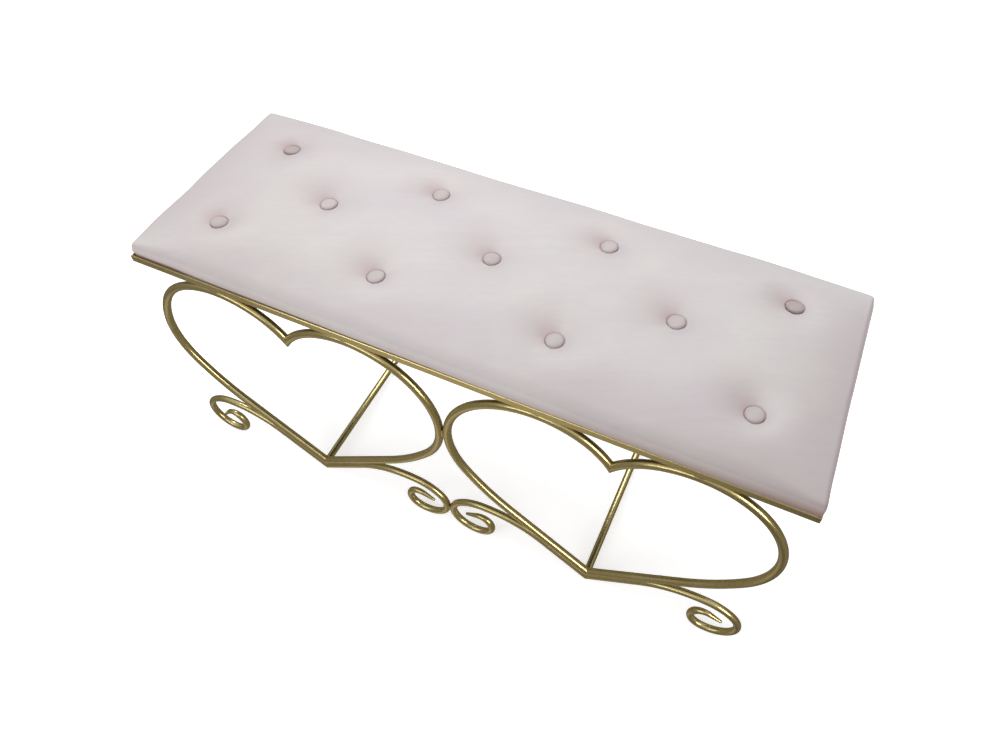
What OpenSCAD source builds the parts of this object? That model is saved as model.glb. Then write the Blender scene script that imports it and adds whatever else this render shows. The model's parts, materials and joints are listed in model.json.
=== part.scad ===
// Upholstered bench: a tufted seat pad in a mitred angle frame, on bent tube hearts with scrolled feet.
// The origin is on the floor under the middle of the bench, +X along its length, +Y to its back, +Z up.

/* [Seat frame] */
// Length of the angle frame over its outer faces
bench_l = 1000; // [800:10:1400]
// Depth of the angle frame over its outer faces
bench_d = 356; // [300:2:460]
// Width of each leg of the steel angle
angle_w = 11; // [9:0.5:20]
// Wall of the steel angle
angle_t = 3; // [2:0.5:4]
// Number of flat straps that carry the seat board
strap_count = 3; // [2:1:5]
// Width of a strap
strap_w = 25; // [16:1:40]
// Distance of a strap's screws from the frame's outer face
screw_inset = 68; // [50:1:120]

/* [Hearts] */
// Diameter of the heart tube
tube_d = 13; // [10:0.5:18]
// Wall of the heart and stretcher tubes
tube_wall = 1.2; // [0.8:0.1:2]
// Slope of the straight leg of a heart
leg_slope = 35.7; // [34:0.1:40]
// Radius of the slow bend above the straight leg
flank_r = 342; // [300:1:380]
// Angle of the slow bend
flank_a = 18; // [15:0.5:22]
// Radius of the lobe
lobe_r = 136.3; // [120:0.1:150]
// Angle that the lobe turns through
lobe_a = 150; // [140:1:156]
// Radius of the bend that runs down into the notch
notch_r = 124; // [110:1:140]
// Space left at a painted weld between round bars
weld_gap = 0.2; // [0.1:0.05:0.4]

/* [Scroll feet] */
// Diameter of the scroll rod
rod_d = 12; // [8:0.5:14]
// Radius of the sweep where the rod leaves the heart
sweep_r = 157; // [140:1:180]
// Angle of the sweep
sweep_a = 41; // [38:0.5:45]
// Radius of the shoulder of the scroll
shoulder_r = 68; // [56:1:76]
// Angle of the shoulder
shoulder_a = 40; // [34:1:42]
// Radius of the outer curl
outer_curl_r = 41.5; // [38:0.5:46]
// Angle of the outer curl
outer_curl_a = 141; // [138:1:146]
// Radius of the middle curl
mid_curl_r = 28; // [25:0.5:30]
// Angle of the middle curl
mid_curl_a = 114; // [108:1:120]
// Radius of the inner curl
inner_curl_r = 18.5; // [17:0.5:21]
// Angle of the inner curl
inner_curl_a = 84; // [74:1:100]
// Length of the drawn-out point
point_l = 20; // [12:0.5:26]
// Diameter at the end of the drawn-out point
point_d = 5; // [3:0.2:6]

/* [Stretchers] */
// Diameter of a stretcher tube
stretcher_d = 12; // [10:0.5:14]
// Height of the heart's tip above the stretcher's axis
stretcher_drop = 3.5; // [0:0.5:6]

/* [Seat pad] */
// Space between the pad and the inside of the frame
pad_gap = 2; // [1:0.5:4]
// Thickness of the seat board
board_t = 9; // [6:0.5:15]
// Thickness of the foam slab
foam_t = 29; // [20:0.5:32]
// Width of the bevel round the top of the foam
foam_bevel = 42; // [36:1:60]
// Height of the foam's upright edge under the bevel
foam_side = 10; // [4:0.5:12]
// Thickness of the velvet where it is turned under the board
hem_t = 1.5; // [0.8:0.1:2.5]
// Width of the velvet turned under the board
hem_w = 25; // [15:1:40]
// Thickness of the cloth that closes the underside
dust_t = 0.8; // [0.4:0.1:1.2]
// Height of the pad's widest line above the top of the frame
side_h = 16; // [12:0.5:24]
// How far the pad swells over the frame at that line
side_swell = 3; // [0:0.5:5]
// Height of the crown above the pad's widest line
crown_h = 32; // [28:1:45]
// Width of the rounding from an edge to the crown
crown_blend = 110; // [80:5:150]
// Radius that the pad's upright corners are rounded to
corner_r = 10; // [6:1:20]

/* [Tufts] */
// Buttons in the front and back rows, one more than in the middle row
tuft_count = 4; // [3:1:6]
// Spacing of the buttons along a row
tuft_spacing = 263; // [160:1:300]
// Spacing of the rows
row_spacing = 94.5; // [80:0.5:110]
// Diameter of a covered button
button_d = 25; // [20:0.5:32]
// Height of a covered button
button_h = 7; // [5:0.5:9]
// Radius of the flat seat under a button
pit_r = 21; // [18:0.5:24]
// Reach of the dimple round a button
dimple_w = 34; // [24:1:45]
// Diameter of the twine that ties a button down
twine_d = 2; // [1:0.1:3]
// Diameter of the twine's hole in the board
twine_hole_d = 6; // [4:0.5:8]
// Diameter of the anchor washer under the board
anchor_d = 16; // [12:0.5:22]

/* [Fasteners] */
// Diameter of a strap screw
screw_d = 4; // [3:0.5:5]
// Length of a strap screw under its head
screw_l = 11; // [8:0.5:13]
// Diameter of a strap screw's head
head_d = 8; // [6:0.5:10]
// Height of a strap screw's head
head_h = 2.6; // [2:0.1:4]
// Diameter of a washer
washer_d = 10; // [9:0.5:14]
// Thickness of a washer
washer_t = 1; // [0.6:0.1:1.6]
// Clearance of a screw in its holes, on the diameter
hole_gap = 0.4; // [0.2:0.1:1]
// Clearance between layers that lie on each other
lay_gap = 0.1; // [0.05:0.05:0.3]

/* [Hidden] */
$fn = 48;
gold = [0.66, 0.58, 0.38];
velvet = [0.88, 0.80, 0.79];
// How far a cutter runs past the face it cuts.
cut = 1;
// A bent bar's lengths stop this far short of each seam.
seam_short = 0.3;
// A sleeve of this half length, and this much wider than the bar, closes the seam.
sleeve_half = 0.6;
sleeve_step = 0.12;
// Facets of the rounding at the end of a scroll's point, and the angle it turns before its flat end.
nose_steps = 4;
nose_a = 68;

// Unit vectors along a heading in the plane of the bent bars, and square to it on its left.
function along(t) = [cos(t), sin(t)];
function left_of(t) = [-sin(t), cos(t)];

// The heart half as one straight leg and three tangent bends, from the tip up and round into the notch.
heart_pitch = bench_l / 2;
heart_half_w = heart_pitch / 2 - tube_d / 2 - weld_gap / 2;
flank_end = leg_slope + flank_a;
lobe_end = flank_end + lobe_a;
leg_l = (heart_half_w - lobe_r + flank_r * sin(leg_slope) - (flank_r - lobe_r) * sin(flank_end))
    / cos(leg_slope);
flank_c = leg_l * along(leg_slope) + flank_r * left_of(leg_slope);
lobe_c = flank_c - (flank_r - lobe_r) * left_of(flank_end);
notch_c = lobe_c - (lobe_r - notch_r) * left_of(lobe_end);
notch_a = 180 + asin(notch_c[0] / notch_r) - lobe_end;
mitre_a = tube_d / notch_r * 180 / PI;
heart_h = lobe_c[1] + lobe_r;
heart_path = [[0, tube_d + leg_l], [flank_r, flank_a], [lobe_r, lobe_a], [notch_r, notch_a + mitre_a]];

// The scroll rod lies along the heart's leg, sweeps away from it and curls in on itself.
lay_offset = tube_d / 2 + rod_d / 2 + weld_gap;
scroll_half_w = heart_pitch / 2 - rod_d / 2 - weld_gap / 2;
sweep_end = leg_slope - sweep_a;
shoulder_end = sweep_end - shoulder_a;
lay_l = (scroll_half_w - outer_curl_r - sweep_r * sin(leg_slope)
    + (sweep_r - shoulder_r) * sin(sweep_end) + (shoulder_r - outer_curl_r) * sin(shoulder_end))
    / cos(leg_slope);
sweep_c = lay_l * along(leg_slope) - sweep_r * left_of(leg_slope);
shoulder_c = sweep_c + (sweep_r - shoulder_r) * left_of(sweep_end);
outer_curl_c = shoulder_c + (shoulder_r - outer_curl_r) * left_of(shoulder_end);
outer_curl_end = shoulder_end - outer_curl_a;
mid_curl_c = outer_curl_c + (outer_curl_r - mid_curl_r) * left_of(outer_curl_end);
scroll_low = outer_curl_end > -180 ? mid_curl_c[1] - mid_curl_r : outer_curl_c[1] - outer_curl_r;
scroll_path = [[0, rod_d + lay_l], [-sweep_r, sweep_a], [-shoulder_r, shoulder_a],
    [-outer_curl_r, outer_curl_a], [-mid_curl_r, mid_curl_a], [-inner_curl_r, inner_curl_a]];

// Heights, from the floor up.
scroll_z = max(rod_d / 2 - scroll_low, rod_d / 2 / cos(leg_slope));
tip_z = scroll_z + lay_offset / cos(leg_slope);
stretcher_z = tip_z - stretcher_drop;
rail_z = tip_z + heart_h + tube_d / 2 + weld_gap;
rail_top = rail_z + angle_w;
flange_top = rail_z + angle_t;
dust_z = flange_top + lay_gap;
hem_z = dust_z + dust_t + lay_gap;
board_z = hem_z + hem_t + lay_gap;
foam_z = board_z + board_t + lay_gap;
foam_top = foam_z + foam_t;
pit_z = foam_top + lay_gap + hem_t;
side_z = rail_top + side_h;

// Plan sizes.
tube_y = bench_d / 2 - angle_w / 2;
clear_l = bench_l - 2 * angle_t;
clear_d = bench_d - 2 * angle_t;
flange_gap_d = bench_d - 2 * angle_w;
flange_gap_l = bench_l - 2 * angle_w;
pad_l = clear_l - 2 * pad_gap;
pad_d = clear_d - 2 * pad_gap;
board_l = pad_l - 2 * hem_t - 2 * lay_gap;
board_d = pad_d - 2 * hem_t - 2 * lay_gap;
board_chamfer = corner_r - hem_t;
dust_l = (flange_gap_l + pad_l) / 2;
dust_d = (flange_gap_d + pad_d) / 2;
strap_pitch = bench_l / strap_count;
strap_places = [for (i = [0 : strap_count - 1]) (i - (strap_count - 1) / 2) * strap_pitch];
screw_y = bench_d / 2 - screw_inset;
screw_places = [for (x = strap_places, y = [-screw_y, screw_y]) [x, y]];
washer_z = rail_z - lay_gap - washer_t;
head_z = washer_z - lay_gap;
pilot_l = screw_l - (board_z - head_z);
needle_w = twine_d + hole_gap;
anchor_t = hem_t - 2 * lay_gap;
shank_d = 1.6;
shank_drop = 3;

// Places of the buttons: long rows front and back, and a row between them in the gaps.
function row_places(n, y) = [for (i = [0 : n - 1])
    [(i - (n - 1) / 2) * tuft_spacing, y]];
tufts = concat(row_places(tuft_count, -row_spacing), row_places(tuft_count - 1, 0),
    row_places(tuft_count, row_spacing));

// Height of the pad's top: a crown that falls to the edges, drawn down to a flat seat at each button.
function rise(d) = 1 - pow(1 - min(max(d / crown_blend, 0), 1), 3);
function crown_z(x, y) = side_z + crown_h * rise(pad_l / 2 - abs(x)) * rise(pad_d / 2 - abs(y));
function tuft_range(x, y) = min([for (t = tufts) norm([x, y] - t)]);
function pull(r) = r <= pit_r ? 1 : exp(-pow((r - pit_r) / dimple_w, 1.4));
function top_z(x, y) = let (p = pull(tuft_range(x, y))) crown_z(x, y) * (1 - p) + pit_z * p;

// Grid lines of the pad: close together round the buttons and at the edges.
pit_line = button_d / 2 + 1;
dimple_line = 36;
edge_lines = [0, corner_r * 2 / 5, corner_r, corner_r * 2.2];
half_pitch = tuft_spacing / 2;
spread_x = [-dimple_line, -pit_line, pit_line, dimple_line];
spread_y = [-dimple_line + 2, -pit_line + 1, pit_line - 1, dimple_line - 2];
grid_x = concat([for (e = edge_lines) e - pad_l / 2],
    [for (k = [1 - tuft_count : tuft_count - 1]) each concat(
        [for (s = spread_x) k * half_pitch + s],
        k < tuft_count - 1 ? [(k + 0.5) * half_pitch] : [])],
    [for (i = [len(edge_lines) - 1 : -1 : 0]) pad_l / 2 - edge_lines[i]]);
grid_y = concat([for (e = edge_lines) e - pad_d / 2],
    [for (k = [-1 : 1]) each [for (s = spread_y) k * row_spacing + s]],
    [for (i = [len(edge_lines) - 1 : -1 : 0]) pad_d / 2 - edge_lines[i]]);
cols = len(grid_x);
rows = len(grid_y);

// Rounds the pad's upright corners and swells its widest line.
corner_pull = 0.3 * corner_r;
function near_edge(d) = pow(max(0, 1 - d / corner_r), 2);
function plan(x, y, swell) = let (
    ex = near_edge(pad_l / 2 - abs(x)),
    ey = near_edge(pad_d / 2 - abs(y)),
    pull_in = corner_pull * ex * ey)
    [x - sign(x) * (pull_in - swell * ex), y - sign(y) * (pull_in - swell * ey)];
top_points = [for (j = [0 : rows - 1], i = [0 : cols - 1])
    let (q = plan(grid_x[i], grid_y[j], side_swell)) [q[0], q[1], top_z(grid_x[i], grid_y[j])]];
rim = concat([for (i = [0 : cols - 1]) [i, 0]], [for (j = [1 : rows - 1]) [cols - 1, j]],
    [for (i = [cols - 2 : -1 : 0]) [i, rows - 1]], [for (j = [rows - 2 : -1 : 1]) [0, j]]);
low_points = [for (r = rim)
    let (q = plan(grid_x[r[0]], grid_y[r[1]], 0)) [q[0], q[1], hem_z]];
top_faces = [for (j = [0 : rows - 2], i = [0 : cols - 2])
    let (a = j * cols + i) each [[a, a + cols, a + cols + 1], [a, a + cols + 1, a + 1]]];
function rim_top(k) = let (r = rim[k % len(rim)]) r[1] * cols + r[0];
function rim_low(k) = rows * cols + k % len(rim);
side_faces = [for (k = [0 : len(rim) - 1])
    each [[rim_top(k), rim_top(k + 1), rim_low(k)], [rim_top(k + 1), rim_low(k + 1), rim_low(k)]]];
low_face = [for (k = [0 : len(rim) - 1]) rim_low(k)];

// A round section, with a bore if it is a tube.
module bar_section(d, bore) {
    difference() {
        circle(d = d);
        if (bore > 0) circle(d = bore);
    }
}

// The sleeve over the seam between two lengths of a bent bar.
module seam(d, bore) {
    rotate([90, 0, 90]) linear_extrude(2 * sleeve_half, center = true)
        bar_section(d + sleeve_step, bore - sleeve_step);
}

// Bar along a path: [0, length] is straight, [radius, angle] bends left and a negative radius bends right.
module bent_bar(d, bore, path, i = 0) {
    last = len(path) - 1;
    if (i <= last) {
        r = path[i][0];
        a = path[i][1];
        to_deg = r == 0 ? 1 : 180 / PI / abs(r);
        from = i == 0 ? 0 : seam_short * to_deg;
        to = a - (i == last ? 0 : seam_short * to_deg);
        if (r == 0)
            translate([from, 0, 0]) rotate([90, 0, 90]) linear_extrude(to - from) bar_section(d, bore);
        else
            translate([0, r, 0]) rotate(r > 0 ? from - 90 : 90 - to) rotate_extrude(angle = to - from)
                translate([abs(r), 0]) bar_section(d, bore);
        if (i < last) past(r, a) {
            seam(d, bore);
            bent_bar(d, bore, path, i + 1);
        }
    }
}

// Carries its children past one length of a path.
module past(r, a) {
    if (r == 0) translate([a, 0, 0]) children();
    else translate([0, r, 0]) rotate(r > 0 ? a : -a) translate([0, -r, 0]) children();
}

// Everything right of the plane x = 0, for the mitres at the tips and notches.
module right_side() {
    translate([0, -bench_l, -bench_l]) cube([bench_l, 2 * bench_l, 2 * bench_l]);
}

// The right half of a heart in the plane y = 0, with its tip at the origin.
module heart_half() {
    intersection() {
        rotate([90, 0, 0]) rotate(leg_slope) translate([-tube_d, 0, 0])
            bent_bar(tube_d, tube_d - 2 * tube_wall, heart_path);
        right_side();
    }
}

// The drawn-out point at the free end of a scroll.
module scroll_point() {
    r = point_d / 2;
    nose = [for (i = [0 : nose_steps]) let (t = nose_a * i / nose_steps) [r * cos(t), point_l + r * sin(t)]];
    seam(rod_d, 0);
    rotate([0, 90, 0]) rotate_extrude()
        polygon(concat([[0, seam_short], [rod_d / 2, seam_short]], nose, [[0, nose[nose_steps][1]]]));
}

// Carries its children to the end of a path.
module at_end(path, i = 0) {
    if (i < len(path)) past(path[i][0], path[i][1]) at_end(path, i + 1) children();
    else children();
}

// The right-hand scroll of a heart in the plane y = 0, with its mitre at the origin.
module scroll_half() {
    intersection() {
        rotate([90, 0, 0]) rotate(leg_slope) translate([-rod_d, 0, 0]) {
            bent_bar(rod_d, 0, scroll_path);
            at_end(scroll_path) scroll_point();
        }
        right_side();
    }
}

// Sets a heart half or scroll in its place: end_x and side_y are -1 or 1, hand -1 mirrors it to the left.
module placed(end_x, side_y, hand, z) {
    translate([end_x * heart_pitch / 2, side_y * tube_y, z]) mirror([hand < 0 ? 1 : 0, 0, 0]) children();
}

module heart(end_x, side_y, hand) {
    color(gold) placed(end_x, side_y, hand, tip_z) heart_half();
}

module scroll(end_x, side_y, hand) {
    color(gold) placed(end_x, side_y, hand, scroll_z) scroll_half();
}

// A stretcher tube whose ends are coped round the tip of the heart and the mitre of the scrolls.
module stretcher(end_x) {
    cope_l = 4 * tube_d;
    color(gold) translate([end_x * heart_pitch / 2, 0, 0]) difference() {
        translate([0, tube_y, stretcher_z]) rotate([90, 0, 0]) linear_extrude(2 * tube_y)
            bar_section(stretcher_d, stretcher_d - 2 * tube_wall);
        for (y = [-tube_y, tube_y], side = [0, 1])
            translate([0, y, 0]) mirror([side, 0, 0]) {
                translate([0, 0, tip_z]) rotate([0, 90 - leg_slope, 0]) translate([0, 0, -tube_d])
                    cylinder(d = tube_d + 2 * weld_gap, h = cope_l);
                translate([0, 0, scroll_z]) rotate([0, 90 - leg_slope, 0]) translate([0, 0, -rod_d])
                    cylinder(d = rod_d + 2 * weld_gap, h = cope_l);
            }
    }
}

// One length of steel angle with mitred ends, its outer face on y = 0 and its underside on z = 0.
module angle_rail(l) {
    nose = angle_t / 4;
    run_in = 2 * angle_w;
    color(gold) intersection() {
        translate([l / 2, 0, 0]) rotate([90, 0, -90]) linear_extrude(l) polygon([
            [-angle_w, 0], [-angle_w, angle_t - nose], [nose - angle_w, angle_t], [-angle_t, angle_t],
            [-angle_t, angle_w - nose], [nose - angle_t, angle_w], [-nose, angle_w], [0, angle_w - nose],
            [0, 0]]);
        linear_extrude(angle_w)
            polygon([[-l / 2, 0], [l / 2, 0], [l / 2 - run_in, run_in], [run_in - l / 2, run_in]]);
    }
}

module front_rail() {
    translate([0, -bench_d / 2, rail_z]) angle_rail(bench_l);
}

module back_rail() {
    translate([0, bench_d / 2, rail_z]) rotate(180) angle_rail(bench_l);
}

module left_rail() {
    translate([-bench_l / 2, 0, rail_z]) rotate(-90) angle_rail(bench_d);
}

module right_rail() {
    translate([bench_l / 2, 0, rail_z]) rotate(90) angle_rail(bench_d);
}

// Flat bars welded between the long rails, drilled for the seat's screws.
module seat_straps() {
    color(gold) difference() {
        for (x = strap_places)
            translate([x - strap_w / 2, -flange_gap_d / 2, rail_z]) cube([strap_w, flange_gap_d, angle_t]);
        for (p = screw_places)
            translate([p[0], p[1], rail_z - cut]) cylinder(d = screw_d + hole_gap, h = angle_t + 2 * cut);
    }
}

// The plate's outline as a list of points.
function plate_points(l, d, c) = [
    [c - l / 2, -d / 2], [l / 2 - c, -d / 2], [l / 2, c - d / 2], [l / 2, d / 2 - c],
    [l / 2 - c, d / 2], [c - l / 2, d / 2], [-l / 2, d / 2 - c], [-l / 2, c - d / 2]];

// A flat plate with its corners cut off, centred on the origin.
module plate(l, d, t, c) {
    linear_extrude(t) polygon(plate_points(l, d, c));
}

module seat_board() {
    color("burlywood") difference() {
        translate([0, 0, board_z]) plate(board_l, board_d, board_t, board_chamfer);
        for (t = tufts)
            translate([t[0], t[1], board_z - cut]) cylinder(d = twine_hole_d, h = board_t + 2 * cut);
        for (p = screw_places)
            translate([p[0], p[1], board_z - cut])
                cylinder(d = screw_d + hole_gap, h = pilot_l + hole_gap + cut);
    }
}

// A plate with upright sides, whose top is drawn in above them by a bevel.
module bevelled_plate(l, d, t, c, bevel, side) {
    low = plate_points(l, d, c);
    high = plate_points(l - 2 * bevel, d - 2 * bevel, c);
    n = len(low);
    levels = concat([for (p = low) [p[0], p[1], 0]], [for (p = low) [p[0], p[1], side]],
        [for (p = high) [p[0], p[1], t]]);
    walls = [for (level = [0, n], i = [0 : n - 1])
        let (a = level + i, b = level + (i + 1) % n) [a, a + n, b + n, b]];
    polyhedron(levels, concat([[for (i = [0 : n - 1]) i]], [[for (i = [n - 1 : -1 : 0]) 2 * n + i]], walls));
}

module foam_pad() {
    color("khaki") difference() {
        translate([0, 0, foam_z])
            bevelled_plate(board_l, board_d, foam_t, board_chamfer, foam_bevel, foam_side);
        for (t = tufts)
            translate([t[0], t[1], foam_z - cut]) cylinder(d = twine_hole_d, h = foam_t + 2 * cut);
    }
}

// Velvet over its wadding: crowned and tufted on top, hollow for the foam and board, and turned under them.
module velvet_cover() {
    pocket_z = hem_z + hem_t;
    pocket_l = board_l + 2 * lay_gap;
    pocket_d = board_d + 2 * lay_gap;
    pocket_t = foam_top + lay_gap - pocket_z;
    pocket_side = foam_z + foam_side + lay_gap - pocket_z;
    color(velvet) difference() {
        polyhedron(concat(top_points, low_points), concat(top_faces, side_faces, [low_face]));
        translate([0, 0, pocket_z])
            bevelled_plate(pocket_l, pocket_d, pocket_t, board_chamfer, foam_bevel, pocket_side);
        translate([hem_w - pad_l / 2, hem_w - pad_d / 2, hem_z - cut])
            cube([pad_l - 2 * hem_w, pad_d - 2 * hem_w, hem_t + 2 * cut]);
        for (t = tufts)
            translate([t[0] - needle_w / 2, t[1] - needle_w / 2, foam_z])
                cube([needle_w, needle_w, pit_z - foam_z + cut]);
    }
}

module dust_cloth() {
    color("dimgray") difference() {
        translate([-dust_l / 2, -dust_d / 2, dust_z]) cube([dust_l, dust_d, dust_t]);
        for (p = screw_places)
            translate([p[0], p[1], dust_z - cut]) cylinder(d = screw_d + hole_gap, h = dust_t + 2 * cut);
    }
}

// A covered button: a low dome with a rolled edge, one for each tuft.
module tuft_buttons() {
    edge_h = button_h * 0.4;
    crown_r = button_d * button_d / 8 / (button_h - edge_h) + (button_h - edge_h) / 2;
    color(velvet) for (t = tufts)
        translate([t[0], t[1], pit_z + lay_gap]) intersection() {
            translate([0, 0, button_h - crown_r]) sphere(r = crown_r);
            cylinder(d = button_d, h = button_h);
        }
}

// The wire eye under each button.
module button_shanks() {
    color("silver") for (t = tufts)
        translate([t[0], t[1], foam_top - shank_drop])
            cylinder(d = shank_d, h = pit_z - foam_top + shank_drop);
}

// Twine from each button's eye through the foam and board to its anchor.
module tuft_twine() {
    twine_z = board_z - lay_gap;
    color("ivory") for (t = tufts)
        translate([t[0], t[1], twine_z]) cylinder(d = twine_d, h = foam_top - shank_drop - twine_z);
}

// A flat washer under the board that each twine is knotted to.
module twine_anchors() {
    color("gainsboro") for (t = tufts)
        translate([t[0], t[1], hem_z]) cylinder(d = anchor_d, h = anchor_t);
}

// Pan head screws up through the straps into the board.
module strap_screws() {
    color("silver") for (p = screw_places)
        translate([p[0], p[1], head_z]) {
            cylinder(d = screw_d, h = screw_l);
            translate([0, 0, -head_h]) cylinder(d = head_d, h = head_h);
        }
}

module strap_washers() {
    color("silver") for (p = screw_places)
        translate([p[0], p[1], washer_z]) difference() {
            cylinder(d = washer_d, h = washer_t);
            translate([0, 0, -cut]) cylinder(d = screw_d + hole_gap, h = washer_t + 2 * cut);
        }
}

front_rail();
back_rail();
left_rail();
right_rail();
seat_straps();
heart(-1, -1, -1);  // front_left_heart_left_half
heart(-1, -1, 1);  // front_left_heart_right_half
heart(1, -1, -1);  // front_right_heart_left_half
heart(1, -1, 1);  // front_right_heart_right_half
heart(-1, 1, -1);  // back_left_heart_left_half
heart(-1, 1, 1);  // back_left_heart_right_half
heart(1, 1, -1);  // back_right_heart_left_half
heart(1, 1, 1);  // back_right_heart_right_half
scroll(-1, -1, -1);  // front_left_scroll_left
scroll(-1, -1, 1);  // front_left_scroll_right
scroll(1, -1, -1);  // front_right_scroll_left
scroll(1, -1, 1);  // front_right_scroll_right
scroll(-1, 1, -1);  // back_left_scroll_left
scroll(-1, 1, 1);  // back_left_scroll_right
scroll(1, 1, -1);  // back_right_scroll_left
scroll(1, 1, 1);  // back_right_scroll_right
stretcher(-1);  // left_stretcher
stretcher(1);  // right_stretcher
seat_board();
foam_pad();
velvet_cover();
dust_cloth();
tuft_buttons();
button_shanks();
tuft_twine();
twine_anchors();
strap_screws();
strap_washers();
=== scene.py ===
import json
import math

import bmesh
import bpy
import numpy as np
from mathutils import Matrix, Vector


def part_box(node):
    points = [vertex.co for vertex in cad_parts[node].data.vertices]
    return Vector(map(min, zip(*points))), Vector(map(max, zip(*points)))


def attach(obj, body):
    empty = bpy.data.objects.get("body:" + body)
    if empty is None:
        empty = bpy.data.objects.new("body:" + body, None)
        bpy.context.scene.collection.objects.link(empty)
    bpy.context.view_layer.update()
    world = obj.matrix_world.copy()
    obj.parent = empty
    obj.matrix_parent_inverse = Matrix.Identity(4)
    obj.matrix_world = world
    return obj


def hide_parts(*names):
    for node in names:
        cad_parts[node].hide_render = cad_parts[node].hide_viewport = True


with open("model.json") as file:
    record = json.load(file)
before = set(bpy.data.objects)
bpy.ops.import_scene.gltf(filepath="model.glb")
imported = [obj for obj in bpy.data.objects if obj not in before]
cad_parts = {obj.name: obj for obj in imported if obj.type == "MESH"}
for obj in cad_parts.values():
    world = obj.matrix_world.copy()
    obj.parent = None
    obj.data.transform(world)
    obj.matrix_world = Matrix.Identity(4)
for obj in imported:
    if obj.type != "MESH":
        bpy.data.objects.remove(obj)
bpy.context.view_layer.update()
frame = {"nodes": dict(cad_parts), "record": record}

# Sizes in metres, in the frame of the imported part.
TUBE_D = 0.013
ROD_D = 0.012
WELD_GAP = 0.0002
HEART_PITCH = 0.5
TUBE_Y = 0.1725
LEG_SLOPE = 35.7
# Bends as (radius, degrees).
FLANK = (0.342, 18)
LOBE = (0.1363, 150)
NOTCH_R = 0.124
SCROLL_BENDS = ((0.157, 41), (0.068, 40), (0.0415, 141), (0.028, 114), (0.0185, 84))
TIGHT_BENDS = ((0.152, 41), (0.066, 42), (0.040, 142), (0.026, 122), (0.017, 98))
CURL_END_D = 0.0085
POINT_L = 0.020
POINT_D = 0.005
SCROLL_Z = 0.00757
TIP_Z = SCROLL_Z + (TUBE_D / 2 + ROD_D / 2 + WELD_GAP) / math.cos(math.radians(LEG_SLOPE))
BUTTON_D = 0.025
BUTTON_H = 0.007
TUFT_SPACING = 0.263
ROW_SPACING = 0.0945

RAIL_LOW, RAIL_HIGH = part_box("front_rail")
RAIL_Z = RAIL_LOW.z
RAIL_TOP = RAIL_HIGH.z
PAD_LOW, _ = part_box("velvet_cover")
BUTTON_LOW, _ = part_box("tuft_buttons")

# The pile is brushed along this line, and painted shade darkens slopes that face the heading.
BRUSH_TURN = math.radians(24)
SHADE_HEADING = (0.90, -0.44, 0.0)
FRONT = (0, -1, 0)


# Node helpers.
def new_material(name):
    made = bpy.data.materials.new(name)
    made.use_nodes = True
    tree = made.node_tree
    tree.nodes.clear()
    out = tree.nodes.new("ShaderNodeOutputMaterial")
    shader = tree.nodes.new("ShaderNodeBsdfPrincipled")
    tree.links.new(shader.outputs[0], out.inputs[0])
    return made, tree, shader


def place(tree, scale=(1, 1, 1), turn=0.0):
    """Object coordinates, turned about Z and stretched by scale."""
    coord = tree.nodes.new("ShaderNodeTexCoord")
    mapping = tree.nodes.new("ShaderNodeMapping")
    mapping.vector_type = "TEXTURE"
    mapping.inputs["Scale"].default_value = [1 / v for v in scale]
    mapping.inputs["Rotation"].default_value = (0, 0, turn)
    tree.links.new(coord.outputs["Object"], mapping.inputs["Vector"])
    return mapping.outputs[0]


def noise(tree, vector, scale, detail=2.0, roughness=0.5, distortion=0.0):
    node = tree.nodes.new("ShaderNodeTexNoise")
    node.inputs["Scale"].default_value = scale
    node.inputs["Detail"].default_value = detail
    node.inputs["Roughness"].default_value = roughness
    node.inputs["Distortion"].default_value = distortion
    tree.links.new(vector, node.inputs["Vector"])
    return node.outputs["Fac"]


def spread(tree, value, low, high, to_low, to_high):
    node = tree.nodes.new("ShaderNodeMapRange")
    node.inputs["From Min"].default_value = low
    node.inputs["From Max"].default_value = high
    node.inputs["To Min"].default_value = to_low
    node.inputs["To Max"].default_value = to_high
    tree.links.new(value, node.inputs["Value"])
    return node.outputs[0]


def blend_colours(tree, factor, first, second):
    node = tree.nodes.new("ShaderNodeMix")
    node.data_type = "RGBA"
    for socket, value in ((node.inputs[0], factor), (node.inputs[6], first), (node.inputs[7], second)):
        if isinstance(value, bpy.types.NodeSocket):
            tree.links.new(value, socket)
        elif isinstance(value, tuple):
            socket.default_value = value + (1.0,)
        else:
            socket.default_value = value
    return node.outputs[2]


def tint(tree, base, colour, value, low, high, most=1.0):
    """Lays a colour over the base as a value goes from low to high."""
    return blend_colours(tree, spread(tree, value, low, high, 0, most), base, colour)


def facing(tree, heading, source="Normal"):
    """How far the surface leans towards a heading, from its own normal."""
    coord = tree.nodes.new("ShaderNodeTexCoord")
    node = tree.nodes.new("ShaderNodeVectorMath")
    node.operation = "DOT_PRODUCT"
    tree.links.new(coord.outputs[source], node.inputs[0])
    node.inputs[1].default_value = heading
    return node.outputs["Value"]


def vertex_value(tree, name):
    node = tree.nodes.new("ShaderNodeAttribute")
    node.attribute_name = name
    return node.outputs["Fac"]


def bump(tree, shader, layers):
    """Bump layers of (height, distance in metres, strength), one over the other."""
    normal = None
    for height, distance, strength in layers:
        node = tree.nodes.new("ShaderNodeBump")
        node.inputs["Distance"].default_value = distance
        node.inputs["Strength"].default_value = strength
        tree.links.new(height, node.inputs["Height"])
        if normal:
            tree.links.new(normal, node.inputs["Normal"])
        normal = node.outputs[0]
    tree.links.new(normal, shader.inputs["Normal"])


# Materials.
GOLD_DEEP = (0.57, 0.46, 0.19)
GOLD_LIGHT = (0.64, 0.54, 0.255)
GOLD_FLECK = (0.73, 0.66, 0.37)
GOLD_PAINTED_SHADE = (0.20, 0.155, 0.06)


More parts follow.
